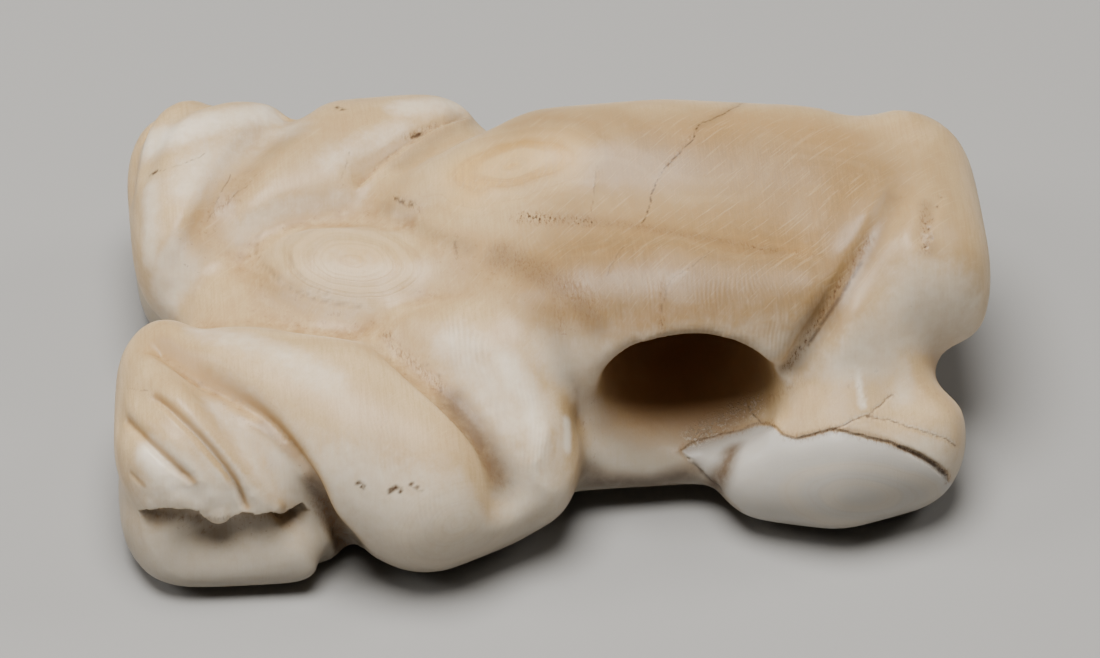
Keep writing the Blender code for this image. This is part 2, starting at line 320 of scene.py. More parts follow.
# %% [markdown]
# ## A finer skin along the lines
# A crack is a tenth of a millimetre wide, so the even skin is too coarse for it. Only the faces
# beside the lines are subdivided: once in a wide band beside the grooves, and once more in a
# narrow band beside the cracks and the sharpest cuts. That keeps the whole piece light.

# %% Subdivide the skin beside the lines
GROOVE_BAND = 0.75 * MM
CRACK_BAND = 0.32 * MM
FAR_FOOT_SHIFT = 1.7 * MM
grooves_seen = TOE_GROOVES + [FOOT_GROOVE, TOE_TIPS, SHOULDER_GROOVE, FAR_SHANK_GROOVE, SEAM]
cracks_seen = TOE_GROOVES + [TOE_TIPS, SEAM, FACET_EDGE, PITS] + SIDE_CRACKS + HAIR_CRACKS


def mirrored(line, shift=0.0):
    """The same line on the far side, moved along the body and laid on the skin there."""
    wanted = line * np.array([1.0, -1.0, 1.0]) + np.array([shift, 0.0, 0.0])
    return evened(np.array([tree.find_nearest(Vector(place))[0] for place in wanted]))


def subdivide_beside(lines, band):
    """Cut each face near the lines in four, and rub the new corners."""
    flat = np.empty(3 * len(skin.data.polygons))
    skin.data.polygons.foreach_get("center", flat)
    centres = flat.reshape(-1, 3)
    chosen = np.zeros(len(centres), bool)
    for line in lines:
        chosen[near_line(centres, line, band)[0]] = True
    choose(skin)
    bpy.ops.object.mode_set(mode="EDIT")
    bpy.context.tool_settings.mesh_select_mode = (False, False, True)
    bpy.ops.mesh.select_all(action="DESELECT")
    bpy.ops.object.mode_set(mode="OBJECT")
    skin.data.polygons.foreach_set("select", chosen)
    bpy.ops.object.mode_set(mode="EDIT")
    bpy.ops.mesh.subdivide(number_cuts=1)
    bpy.ops.mesh.vertices_smooth(factor=0.5, repeat=2)
    bpy.ops.object.mode_set(mode="OBJECT")
    print("subdivided", int(chosen.sum()), "faces; the skin has", len(skin.data.polygons))


groove_lines = [seen(line, tree) for line in grooves_seen]
crack_lines = [seen(line, tree) for line in cracks_seen]
foot_lines = [seen(line, tree) for line in TOE_GROOVES + [FOOT_GROOVE, TOE_TIPS]]
groove_lines += [mirrored(line, FAR_FOOT_SHIFT) for line in foot_lines]
subdivide_beside(groove_lines, GROOVE_BAND)
subdivide_beside(crack_lines, CRACK_BAND)

# %% [markdown]
# ## Carving
# A carver's cut has a steep side and a gentle one. The skin is pressed in along a line, with a
# reach of its own on each side of it, and the cut runs out softly at both ends. This is done by
# moving the vertices, because no modifier follows a line over a curved skin so closely.

# %% The carver's cut
def carve(line, left, right, depth, run_out, sharp=True):
    """Press a cut along a line. Reaches, depth and the run-out at both ends are in millimetres."""
    places = corner_places()
    outward = surface_normals()
    rows, nearest, gap = near_line(places, line, max(left, right) * MM)
    ahead = line[np.minimum(nearest + 1, len(line) - 1)] - line[np.maximum(nearest - 1, 0)]
    ahead /= np.linalg.norm(ahead, axis=1)[:, None] + NEVER_ZERO * MM
    offset = places[rows] - line[nearest]
    to_right = (np.cross(ahead, outward[rows]) * offset).sum(1) > 0
    reach = np.where(to_right, right, left) * MM
    share = np.clip(1 - gap / reach, 0, 1)
    profile = share ** 2 if sharp else (1 - (1 - share) ** 2) ** 2
    travelled = np.concatenate([[0], np.cumsum(np.linalg.norm(np.diff(line, axis=0), axis=1))])
    start = np.clip(travelled[nearest] / (run_out[0] * MM + NEVER_ZERO), 0, 1)
    end = np.clip((travelled[-1] - travelled[nearest]) / (run_out[1] * MM + NEVER_ZERO), 0, 1)
    fade = start * (2 - start) * end * (2 - end)
    places[rows] -= outward[rows] * (depth * MM * profile * fade)[:, None]
    skin.data.vertices.foreach_set("co", places.ravel())
    skin.data.update()


def dent(centre, radius, depth):
    """Press a round hollow, with its radius and depth in millimetres. A negative depth is a bump."""
    places = corner_places()
    outward = surface_normals()
    gap = np.linalg.norm(places - centre, axis=1) / (radius * MM)
    rows = np.flatnonzero(gap < 1)
    profile = (1 - gap[rows] ** 2) ** 2
    places[rows] -= outward[rows] * (depth * MM * profile)[:, None]
    skin.data.vertices.foreach_set("co", places.ravel())
    skin.data.update()


# %% [markdown]
# ## Softer lips
# The photo shows the lower lip of the tunnel, the floor under the toe tips, the back, the thigh
# and the right end as soft, rubbed forms, worn by the cord and by handling. These zones are
# rubbed down before the sharp cuts come. A Smooth modifier held to a vertex group does it, with
# weights that fade from the middle of each zone, so that no edge of a zone shows.

# %% Rub down the worn lips
WORN_FACTOR = 0.9


def rub_down(lines, reach, passes):
    """Smooth the skin near some lines, most along them and less towards the reach in millimetres."""
    places = corner_places()
    group = skin.vertex_groups.new(name="worn")
    for line in lines:
        rows, nearest, gap = near_line(places, line, reach * MM)
        for row, share in zip(rows.tolist(), (1 - (gap / (reach * MM)) ** 2).tolist()):
            group.add([row], share, "REPLACE")
    worn = skin.modifiers.new("worn", "SMOOTH")
    worn.vertex_group = "worn"
    worn.factor = WORN_FACTOR
    worn.iterations = passes
    apply_all(skin)
    skin.vertex_groups.clear()


LEFT_LIP = [(598, 402), (604, 424), (622, 447), (650, 463), (690, 466)]
RIGHT_LIP = [(778, 404), (768, 428), (745, 446), (715, 460), (690, 468)]
SOLE_LIP = [(135, 548), (160, 562), (220, 564), (285, 560), (305, 545), (300, 520)]
HAUNCH_EDGE = [(395, 182), (425, 160), (455, 143), (482, 130)]
WORN = [
    (LEFT_LIP, 1.9, 40),
    (RIGHT_LIP, 1.8, 40),
    (SOLE_LIP, 1.6, 60),
    (SHOULDER_GROOVE, 1.3, 35),
    (HAUNCH_EDGE, 1.5, 50),
    (SPINE, 1.6, 40),
    ([(450, 320), (490, 360), (520, 400)], 2.2, 60),  # thigh
    ([(520, 330), (550, 390), (566, 430)], 1.6, 60),  # edge of the thigh
    ([(566, 415), (570, 440), (560, 465)], 1.5, 80),  # end of the thigh
    (KNEE_VALLEY, 1.0, 30),
    ([(640, 170), (740, 175), (830, 190)], 3.0, 80),  # back
    ([(660, 205), (760, 215), (830, 225)], 2.2, 60),  # ridge of the back
    ([(440, 220), (480, 260)], 1.8, 60),  # hollow behind the boss
    ([(610, 270), (700, 275), (780, 290)], 1.8, 50),  # flank above the tunnel
    ([(870, 250), (890, 300), (880, 340)], 2.0, 60),  # right end
]
tree = skin_tree()
for pixels, reach, passes in WORN:
    line = seen(pixels, tree)
    rub_down([line, mirrored(line)], reach, passes)
print("rubbed down", len(WORN), "zones on each side")

# %% [markdown]
# ## The feet
# The toes are parted by short cuts, each with a gentle wall above it and a steep one below.
# Under the tips the outer face is hollowed, so the tips overhang it with an uneven, scalloped
# edge. The far foot shows only from above, so it takes the same cuts in mirror image, softer.

# %% Carve the toes of both feet
TOE_DEPTHS = [0.42, 0.40, 0.14]
NEAR_SHARE = 0.9
FAR_SHARE = 0.8
tree = skin_tree()
toe_lines = [seen(line, tree) for line in TOE_GROOVES]
for line, depth in zip(toe_lines, TOE_DEPTHS):
    carve(line, 0.75, 0.34, NEAR_SHARE * depth, run_out=(0.9, 0.9))
    lower_part = line[len(line) // 3:]
    carve(mirrored(lower_part, FAR_FOOT_SHIFT), 0.24, 0.6, FAR_SHARE * depth, run_out=(1.6, 0.7))
foot_line = seen(FOOT_GROOVE, tree)
carve(foot_line, 1.6, 0.50, 0.68, run_out=(1.8, 0.2))
tip_line = seen(TOE_TIPS, tree)
carve(tip_line, 0.10, 2.9, 1.50, run_out=(2.4, 0.5))
carve(tip_line, 0.08, 0.8, 0.35, run_out=(1.2, 0.4))
far_tips = mirrored(tip_line, FAR_FOOT_SHIFT)
carve(far_tips, 1.7, 0.12, 0.45, run_out=(1.0, 0.8))
print("carved", len(toe_lines), "cuts in each foot")

# %% Round the toe tips
TIP_BUMPS = [
    ((219, 517), 0.75, 0.22),  # third toe
    ((279, 507), 0.6, 0.10),  # fourth toe
    ((180, 503), 0.9, 0.10),  # second toe
    ((150, 505), 0.7, 0.08),  # first toe
]
tree = skin_tree()
for (x, y), radius, height in TIP_BUMPS:
    dent(seen(spot(x, y), tree)[0], radius, -height)
notch = seen([(198, 511), (199, 519)], tree)
carve(notch, 0.2, 0.2, 0.25, run_out=(0.2, 0.0))
rub_down([foot_line], 0.9, 12)
rub_down(toe_lines, 0.5, 4)
print("rounded", len(TIP_BUMPS), "toe tips")

# %% [markdown]
# ## Valleys and creases
# The broad valleys are already in the solid. Here their floors are sharpened where the photo
# shows a line, most of all beside the shoulder and under the edge of the far haunch.

# %% Sharpen the valleys
tree = skin_tree()
carve(seen(SHOULDER_GROOVE, tree), 1.3, 0.9, 0.22, run_out=(3.0, 0.6), sharp=False)
carve(evened(seen(FAR_SHANK_GROOVE, tree)), 0.15, 2.3, 0.60, run_out=(1.6, 1.2))
carve(seen(FAR_FOOT_GROOVE, tree), 1.0, 1.2, 0.22, run_out=(1.0, 1.5), sharp=False)
carve(seen(KNEE_VALLEY, tree), 1.6, 0.8, 0.34, run_out=(2.0, 2.0), sharp=False)
carve(seen(BOSS_RING, tree), 0.35, 0.25, 0.07, run_out=(1.0, 1.5))
carve(seen(PIT_HOLLOW, tree), 0.7, 0.7, 0.14, run_out=(0.8, 0.8), sharp=False)
print("sharpened four valleys, one ring of the boss and the hollow of the pits")

# %% [markdown]
# ## The seam on the arm
# A natural layer of the shell comes away on the arm. It leaves a smooth white oval face, a
# little lower than the skin above it, with an open crack along its upper edge. The step and the
# crack are two cuts along one line, the first wide on its lower side and the second narrow.

# %% Open the seam and the cracks
tree = skin_tree()
seam_line = ragged(SEAM, tree)
carve(seam_line, 0.05, 1.1, 0.16, run_out=(0.4, 0.4))
carve(seam_line, 0.12, 0.15, 0.14, run_out=(0.5, 0.3))
carve(seen(OPEN_END, tree), 0.32, 0.36, 0.34, run_out=(1.6, 0.3))
carve(seen(FACET_EDGE, tree), 0.7, 0.10, 0.22, run_out=(0.3, 0.8))
for pixels in SIDE_CRACKS:
    carve(ragged(pixels, tree), 0.12, 0.14, 0.08, run_out=(0.5, 0.5))
for pixels in HAIR_CRACKS:
    carve(ragged(pixels, tree), 0.09, 0.09, 0.03, run_out=(0.8, 0.8))
for x, y in PITS:
    dent(seen(spot(x, y), tree)[0], 0.18, 0.12)
print("carved skin:", sum(len(face.vertices) - 2 for face in skin.data.polygons), "triangles")

# %% [markdown]
# ## Where the colours lie
# Old shell is not one colour. It is whitish on the outer faces, warmer on top, tan in the
# hollows and dark brown where dirt has settled in cracks. Painted shade is laid on as well: grey
# low down, brown washes in the recesses, valleys and undersides, and brown inside the tunnel.
# Each of these is kept as an attribute of the vertices, mostly from 0 to 1, which the material
# reads later on.

# %% Measure the hollows
KEPT_SHARE = 0.4
TAKEN_SHARE = 0.6
FINE_PASSES = 10
BROAD_PASSES = 90


def rubbed(values, ends, passes):
    """The values of all corners after some passes, each towards the mean of its neighbours."""
    count = len(values)
    neighbours = np.bincount(ends.ravel(), minlength=count)[:, None]
    for _ in range(passes):
        total = np.zeros_like(values)
        for column in range(values.shape[1]):
            total[:, column] = np.bincount(ends[:, 0], values[ends[:, 1], column], count)
            total[:, column] += np.bincount(ends[:, 1], values[ends[:, 0], column], count)
        values = KEPT_SHARE * values + TAKEN_SHARE * total / neighbours
    return values


places = corner_places()
outward = surface_normals()
ends = np.empty(2 * len(skin.data.edges), int)
skin.data.edges.foreach_get("vertices", ends)
ends = ends.reshape(-1, 2)
fine_form = rubbed(places, ends, FINE_PASSES)
broad_form = rubbed(fine_form, ends, BROAD_PASSES)
fine_hollow = ((fine_form - places) * outward).sum(1) / MM
broad_hollow = ((broad_form - places) * outward).sum(1) / MM
print("hollows up to", round(float(fine_hollow.max()), 2), "and", round(float(broad_hollow.max()), 2), "mm")

# %% Paint along lines and in patches
layers = {}


def smooth_step(value, low, high):
    """0 below low, 1 above high and an even rise between them."""
    share = np.clip((value - low) / (high - low), 0, 1)
    return share * share * (3 - 2 * share)


def paint(layer, pixels, reach, strength, follow=seen):
    """Paint a soft band along a line that shows in the photo, reach in millimetres."""
    amounts = layers.setdefault(layer, np.zeros(len(places)))
    rows, nearest, gap = near_line(places, follow(pixels, tree), reach * MM)
    amounts[rows] = np.maximum(amounts[rows], strength * (1 - (gap / (reach * MM)) ** 2) ** 2)


def paint_all(layer, marks):
    """Paint each mark of a table, which gives its line, its reach and its strength."""
    for pixels, reach, strength in marks:
        paint(layer, pixels, reach, strength)


def pixels_of(places):
    """Where each place shows in the photo, as columns x and y."""
    turned = (places - np.array(towards_camera * CAMERA_DISTANCE)) @ np.array(camera_turn.to_matrix())
    across = turned[:, 0] / -turned[:, 2] * camera.data.lens / SENSOR - camera.data.shift_x
    up = turned[:, 1] / -turned[:, 2] * camera.data.lens / SENSOR - camera.data.shift_y
    return across * PHOTO_WIDTH + PHOTO_WIDTH / 2, PHOTO_HEIGHT / 2 - up * PHOTO_WIDTH


tree = skin_tree()
photo_x, photo_y = pixels_of(places)
faces_camera = smooth_step(outward @ np.array(towards_camera), -0.1, 0.1)
print("corners that face the camera:", int((faces_camera > 0.5).sum()), "of", len(places))

# %% Paint the whitish zones
SIDE_PALENESS = 0.75
LOW_PALENESS = 0.35
side_face = smooth_step(np.abs(outward[:, 1]), 0.35, 0.95)
low_down = 1 - smooth_step(places[:, 2] / MM, 3.0, 10.0)
layers["pale"] = np.clip(SIDE_PALENESS * side_face + LOW_PALENESS * low_down * (1 - side_face), 0, 1)
# painted shade: the lower parts are tinted dark grey, more towards the bottom
layers["low"] = 1 - smooth_step(places[:, 2] / MM, 1.0, 7.5)
layers["warm"] = smooth_step(broad_hollow, 0.02, 0.5)
layers["dirt"] = smooth_step(fine_hollow, 0.02, 0.14)
WHITE_PATCHES = [
    ([(567, 424), (567, 446)], 0.85, 1.0),  # bright rub at the end of the thigh
    ([(150, 145), (200, 125), (270, 112)], 2.0, 0.8),  # far foot, upper edge
    ([(150, 190), (150, 260)], 1.5, 0.6),  # far foot, end
    ([(185, 185), (215, 155), (290, 130)], 2.4, 0.55),  # far foot, top
    ([(545, 400), (560, 440), (555, 480)], 1.4, 0.5),  # end of the thigh
    ([(330, 160), (400, 130)], 1.6, 0.5),  # far shank
    ([(300, 235), (400, 275)], 2.2, 0.2),  # boss
    ([(455, 345), (480, 380), (510, 430)], 2.6, 0.6),  # thigh
    ([(200, 330), (260, 345), (330, 380)], 1.8, 0.5),  # near shank
    ([(856, 366), (863, 406)], 0.4, 0.9),  # bright streak above the arm
    ([(703, 428), (735, 410)], 0.6, 0.5),  # above the seam's left end
    ([(150, 455), (180, 490), (240, 500)], 1.8, 0.9),  # near toes
    ([(505, 365), (530, 400), (540, 450)], 1.8, 0.7),  # side of the thigh
    ([(215, 410), (245, 445), (270, 490)], 1.7, 0.5),  # near foot, inner toe
    ([(870, 345), (900, 365), (900, 395)], 1.5, 0.5),  # waist above the arm
    ([(400, 108), (435, 103), (468, 106)], 1.7, 0.6),  # far haunch, upper edge
    ([(890, 345), (945, 325), (978, 300)], 0.9, 0.7),  # right end, lower edge
]
paint_all("pale", WHITE_PATCHES)

# %% Paint the warm and the amber zones
WARM_ZONES = [
    ([(240, 175), (205, 225), (185, 262)], 2.2, 0.9),  # far foot
    ([(215, 240), (300, 305), (385, 335)], 1.7, 0.75),  # between boss and near shank
    ([(440, 245), (520, 290), (570, 335)], 2.0, 0.8),  # hollow between thigh and back
    ([(500, 330), (530, 380), (540, 400)], 1.3, 0.3),  # side of the thigh
    ([(600, 222), (700, 238), (800, 252)], 1.2, 0.7),  # line of the spine
    ([(680, 130), (760, 120), (840, 140)], 2.2, 0.5),  # far side of the back
    ([(590, 400), (600, 440), (590, 470)], 1.4, 0.6),  # left lip of the tunnel
    ([(150, 352), (200, 388), (262, 428)], 0.9, 0.85),  # groove of the near foot
    ([(905, 200), (925, 250), (905, 320)], 1.6, 0.5),  # right end
    ([(840, 390), (900, 380), (940, 400)], 1.8, 0.6),  # above the arm
    ([(165, 520), (230, 527), (295, 522)], 1.1, 1.0),  # under the toe tips
    ([(289, 447), (315, 490), (344, 552)], 1.0, 1.0),  # gap beside the near foot
]
paint_all("warm", WARM_ZONES)
AMBER_ZONES = [
    ([(470, 180), (520, 165), (560, 158)], 2.8, 1.0),  # far haunch
    ([(355, 258), (395, 268)], 1.6, 0.4),  # boss
]
paint_all("amber", AMBER_ZONES)

# %% Paint the honey tone of the back
HONEY_FULL = 0.7
HONEY_PASSES = 100
HONEY_OVER_PALE = 0.75
HONEY_ZONES = [
    ([(540, 140), (640, 150), (760, 160), (860, 170)], 5.0, 1.0),  # top of the back
    ([(560, 290), (680, 290), (820, 290)], 4.0, 1.0),  # near flank
    ([(930, 170), (940, 270)], 3.0, 0.35),  # right end
    ([(300, 215), (420, 200)], 2.0, 0.4),  # far side of the boss
    ([(560, 240), (840, 240)], 4.0, 1.0),  # line of the spine
    ([(460, 250), (520, 280)], 2.2, 0.4),  # hollow behind the boss
    ([(240, 140), (330, 150)], 2.5, 0.4),  # far shank
]
paint_all("honey", HONEY_ZONES)
even_honey = smooth_step(layers["honey"], 0.0, HONEY_FULL)
layers["honey"] = rubbed(even_honey[:, None], ends, HONEY_PASSES)[:, 0]
layers["pale"] *= 1 - HONEY_OVER_PALE * layers["honey"]

# %% Paint the washes of painted shade and brown stain, and the tan walls
# Most washes are painted shade: under the end of the thigh and the bar, at the left end of the arm, in the
# gap beside the near foot, on the lips and left edge of the tunnel, over the near flank, under the toe tips
# and in the valley beside the knee. The others are brown stain along the seam, the long crack, the rings of
# the boss, the grooves and the spine.
SHADE_AND_STAIN_WASHES = [
    ([(586, 470), (612, 482), (632, 486)], 1.1, 1.1),  # under the end of the thigh
    ([(655, 484), (690, 472)], 1.4, 1.2),  # under the bar
    ([(731, 452), (724, 470), (714, 486)], 1.3, 1.5),  # left end of the arm
    ([(309, 480), (332, 520), (347, 556)], 1.0, 1.5),  # gap beside the near foot
    ([(605, 425), (640, 447), (690, 445), (740, 420)], 1.5, 0.55),  # lower lip of the tunnel
    ([(560, 300), (700, 300), (800, 310)], 3.4, 0.35),  # near flank
    ([(262, 425), (289, 452), (309, 480)], 0.6, 0.75),  # lower end of the foot's groove
    ([(800, 437), (844, 430), (890, 442), (935, 464)], 0.35, 0.6),  # along the seam
    ([(745, 101), (720, 115), (699, 126)], 0.5, 0.45),  # far end of the long crack
    (BOSS_RING, 0.13, 0.7),
    ([(288, 251), (304, 281), (341, 300)], 0.11, 0.5),  # second ring of the boss
    ([(150, 516), (185, 515), (205, 522)], 0.7, 1.0),  # under the outer toes
    ([(205, 530), (250, 521), (298, 508)], 1.1, 0.6),  # under the inner toe
    ([(452, 404), (480, 443), (498, 476)], 1.5, 1.4),  # valley beside the knee
    ([(555, 330), (575, 420)], 1.2, 0.35),  # left edge of the tunnel
    ([(400, 165), (430, 142), (470, 118)], 1.1, 0.6),  # groove of the far shank
    ([(300, 130), (255, 165), (222, 205)], 1.2, 0.35),  # groove of the far foot
    ([(385, 208), (425, 230), (470, 248)], 0.8, 0.4),  # between boss and haunch
    ([(500, 255), (560, 285), (598, 325)], 1.4, 0.75),  # hollow between thigh and back
    ([(590, 481), (640, 484), (705, 486)], 1.3, 1.3),  # foot of the bar
    ([(892, 200), (860, 262), (830, 312), (795, 366)], 0.9, 0.65),  # groove behind the shoulder
    ([(925, 205), (930, 250)], 0.7, 0.35),  # round the pits
    ([(560, 218), (640, 227), (780, 252)], 0.8, 0.4),  # line of the spine
    ([(760, 408), (790, 395)], 1.3, 0.35),  # right lip of the tunnel
]
paint_all("wash", SHADE_AND_STAIN_WASHES)
TAN_WALLS = [
    ([(156, 396), (178, 412), (208, 442), (234, 476), (247, 506)], 0.42, 1.0),  # first toe cut
    ([(130, 420), (150, 440), (173, 461), (194, 481)], 0.42, 1.0),  # second toe cut
    ([(132, 473), (144, 485)], 0.3, 0.8),  # third toe cut
    ([(160, 345), (203, 375), (240, 395), (272, 418), (300, 450)], 1.0, 0.9),  # groove of the near foot
    ([(300, 450), (322, 485), (340, 525)], 0.8, 0.6),  # gap beside the near foot
    ([(470, 240), (540, 270), (590, 320)], 1.6, 0.6),  # hollow between thigh and back
]
paint_all("wall", TAN_WALLS)

# %% [markdown]
# ## The growth rings
# The thin layers of the shell show as rings on the boss and the haunch, and fainter ones on the
# arm and the knee. Noise in space doesn't know where these forms are, so each set of rings has
# its own centre, half sizes and tilt in the photo. The skin keeps the distance from that centre
# in millimetres, and the material turns it into bands.

# %% Ring the rounded forms with growth layers
RING_STARTS = 10
RINGS = [
    ((352, 260), (88, 47), 8, 1.0, 1.0),  # boss
    ((512, 166), (122, 46), -13, 0.9, 0.55),  # far haunch
    ((862, 496), (105, 43), 3, 0.4, 1.3),  # arm
    ((458, 523), (80, 50), -25, 0.35, 1.0),  # near knee
]
layers["ring_run"] = np.zeros(len(places))
layers["ring_share"] = np.zeros(len(places))
for (x, y), (long_half, short_half), tilt, strength, fineness in RINGS:
    turn = math.radians(tilt)
    along = (photo_x - x) * math.cos(turn) + (photo_y - y) * math.sin(turn)
    beside = (photo_y - y) * math.cos(turn) - (photo_x - x) * math.sin(turn)
    run = np.hypot(along / long_half, beside / short_half)
    share = strength * (1 - smooth_step(run, 0.7, 1.15)) * faces_camera
    distance = fineness * run * short_half / PIXELS_PER_MM + RING_STARTS * x / PHOTO_WIDTH
    layers["ring_run"] = np.where(share > 0, distance, layers["ring_run"])
    layers["ring_share"] = np.maximum(layers["ring_share"], share)
print("sets of rings:", len(RINGS))

# %% [markdown]
# ## The bare face
# The face under the seam is plain and white, and its colour ends sharply at the step. So it
# isn't brushed on along a line: everything below the seam's own pixels and right of the slanted
# end of the arm is whitened at once.

# %% Whiten the bare face under the seam
ARM_END_ROWS = 60
seam_columns = np.array([x for x, y in SEAM])
seam_rows = np.array([y for x, y in SEAM])
below_seam = smooth_step(photo_y - np.interp(photo_x, seam_columns, seam_rows), 0, 3)
arm_end = seam_columns[0] + np.clip(photo_y - seam_rows[0], 0, ARM_END_ROWS)
on_arm = smooth_step(photo_x - arm_end, -1.5, 1.5)
on_arm *= 1 - smooth_step(photo_x, seam_columns[-1], seam_columns[-1] + 8)
towards_near = smooth_step(-places[:, 1] / MM, 8.0, 9.0)
bare_face = below_seam * on_arm * towards_near * faces_camera
layers["bare"] = bare_face
layers["warm"] *= 1 - 0.9 * bare_face * smooth_step(photo_x, 735, 760)
print("the bare face covers", int((bare_face > 0.5).sum()), "corners")

# %% [markdown]
# ## Dirt and painted shade
# Brown dirt has settled where fingers don't rub it away: in the grooves and the cracks and in the
# pits. Under the toe tips a dark band is painted shade, and the brown inside the tunnel is painted
# shade too. Each mark is a soft band along a line, and the material breaks it up later, so that it
# doesn't look like a brush stroke.

# %% Stain the grooves, and paint shade under the toe tips
STAINS_AND_SHADE = [
    ([(515, 217), (590, 221)], 0.6, 1.0),  # spine, first part
    ([(590, 221), (640, 227)], 0.4, 0.7),  # spine, next part
    ([(522, 217), (550, 219)], 0.7, 1.5),  # dark specks on the spine
    ([(574, 221), (590, 223)], 0.5, 1.5),  # dark specks on the spine
    ([(700, 126), (668, 165)], 0.25, 0.8),  # long crack
    ([(640, 227), (812, 256)], 0.45, 0.6),  # spine, last part
    ([(745, 246), (780, 252)], 0.4, 1.0),  # specks near its right end
    ([(385, 335), (400, 352), (440, 388)], 0.55, 0.9),  # valley beside the knee, upper part
    ([(440, 388), (500, 484)], 0.8, 0.4),  # valley beside the knee, lower part
    ([(868, 239), (812, 330), (786, 368)], 0.5, 1.0),  # groove behind the shoulder
    ([(924, 205), (926, 250)], 0.5, 1.0),  # round the pits
    ([(395, 197), (420, 210)], 0.4, 0.8),  # between boss and haunch
    ([(405, 137), (436, 126)], 0.35, 0.9),  # groove of the far shank
    ([(235, 195), (212, 215)], 0.5, 0.7),  # groove of the far foot
    ([(500, 255), (555, 280), (590, 310)], 1.4, 0.8),  # hollow between thigh and back
    ([(555, 285), (562, 330)], 0.5, 0.7),  # crease of the thigh
    ([(930, 215), (925, 250)], 0.35, 0.8),  # round the pits
    # painted shade: dark bands under the toe tips
    ([(157, 515), (198, 519)], 0.3, 1.0),  # under the outer toes
    ([(198, 519), (290, 516)], 0.3, 0.5),  # under the inner toe
    ([(320, 500), (343, 548)], 0.9, 0.8),  # gap beside the near foot
    ([(690, 440), (755, 410)], 0.5, 0.6),  # above the seam's left end
    ([(760, 405), (800, 380)], 0.6, 0.5),  # right lip of the tunnel
    ([(935, 462), (950, 478)], 0.3, 1.0),  # open end of the seam
    ([(662, 285), (662, 332)], 0.3, 0.9),  # crack above the tunnel
    ([(455, 235), (457, 262)], 0.16, 1.0),  # hair mark behind the boss
]
paint_all("stain", STAINS_AND_SHADE)

# %% Darken the cracks, the pits and the specks
SHOULDER_CORE = [(862, 262), (848, 285), (830, 312), (808, 345)]
paint("crack", HAIR_CRACKS[0], 0.10, 0.75, ragged)
for pixels in HAIR_CRACKS[1:]:
    paint("crack", pixels, 0.10, 0.5, ragged)
paint("crack", SHOULDER_CORE, 0.26, 0.55)
for pixels in SIDE_CRACKS:
    paint("crack", pixels, 0.11, 0.6, ragged)
    paint("stain", pixels, 0.30, 0.55)
paint("crack", SEAM, 0.12, 0.45, ragged)
paint("crack", OPEN_END, 0.22, 0.7)
paint("stain", SEAM, 0.45, 0.9)
paint("wall", SEAM, 0.40, 0.7)
for x, y in PITS:
    paint("crack", spot(x, y), 0.14, 0.8)
SPECKS = [
    ([(358, 482), (363, 487)], 0.26, 0.9),  # near shank, left
    ([(388, 492), (396, 487), (400, 491)], 0.26, 0.85),  # near shank, middle
    ([(411, 484), (420, 490)], 0.24, 0.8),  # near shank, right
    ([(429, 354), (428, 366)], 0.11, 0.5),  # valley beside the knee
    ([(439, 372), (441, 392)], 0.09, 0.5),  # valley beside the knee
    ([(455, 240), (457, 262)], 0.12, 0.45),  # hair mark behind the boss
    ([(395, 199), (404, 203)], 0.25, 0.7),  # between boss and haunch
    ([(409, 203), (414, 204)], 0.24, 0.75),  # between boss and haunch
    ([(412, 137), (422, 134)], 0.26, 0.8),  # groove of the far shank
    ([(335, 107), (345, 110)], 0.28, 0.8),  # far shank
    ([(150, 176), (157, 171)], 0.24, 0.8),  # far foot
]
paint_all("crack", SPECKS)

# %% Say where the fine growth lines lie, and the flakes with their painted glints
STRIAE = [
    ([(580, 300), (700, 310), (800, 330)], 3.6, 1.0),  # near flank
    ([(455, 335), (500, 380), (530, 440)], 2.6, 0.8),  # thigh
    ([(500, 250), (600, 255), (740, 265)], 1.8, 0.7),  # below the spine
    ([(380, 430), (420, 500)], 2.2, 0.5),  # near shank
]
paint_all("striae", STRIAE)
# the flakes are real; their whitening stands partly for glints, a painted highlight
FLAKES_AND_GLINTS = [
    ([(696, 436), (735, 412), (757, 405)], 1.1, 1.0),  # above the seam's left end
]
paint_all("flakes", FLAKES_AND_GLINTS)

# %% Paint shade inside the tunnel
TUNNEL_X = 7.2 * MM
TUNNEL_Z = 8.5 * MM
TUNNEL_HALF_WIDTH = 6.6 * MM
TUNNEL_HALF_HEIGHT = 5.8 * MM
inside = smooth_step(-np.abs(places[:, 1]) / MM, -9.5, -6.0)
off_axis = np.hypot(
    (places[:, 0] - TUNNEL_X) / TUNNEL_HALF_WIDTH,
    (places[:, 2] - TUNNEL_Z) / TUNNEL_HALF_HEIGHT,
)
layers["tunnel"] = inside * (1 - smooth_step(off_axis, 0.9, 1.05))

# %% Keep the layers on the skin
for name in sorted(layers):
    attribute = skin.data.attributes.new(name, "FLOAT", "POINT")
    attribute.data.foreach_set("value", layers[name].astype(np.float32))
    print(name, "covers", round(100 * float((layers[name] > 0.3).mean()), 1), "% of the corners")

# %% [markdown]
# ## Polished shell
# Old shell is clouded, banded and finely scratched, and its gloss comes from long handling. The
# colour is mixed in the order in which it came about, with painted shade and glints laid in: the
# layers of the shell, its tones with grey painted shade low down, the rings, the washes of painted
# shade and stain, the dirt, the stains with painted shade under the toe tips, the flakes whitened
# in part as painted glints, the painted shade inside the tunnel, and the cracks last. Faint bands
# come from curved sheets round the amulet's length, and the clear rings from the distances kept on
# the skin. Light goes a little way into shell, which the subsurface part of the shader gives.

# %% Start the material and its helpers
shell = bpy.data.materials.new("polished_shell")
shell.use_nodes = True
tree_nodes = shell.node_tree.nodes
tree_links = shell.node_tree.links
surface = tree_nodes["Principled BSDF"]
print("started the material", shell.name)


def put(node, socket, value):
    """Give a node's input a value, or link it to another node's output."""
    if isinstance(value, bpy.types.NodeSocket):
        tree_links.new(value, node.inputs[socket])
    else:
        node.inputs[socket].default_value = value


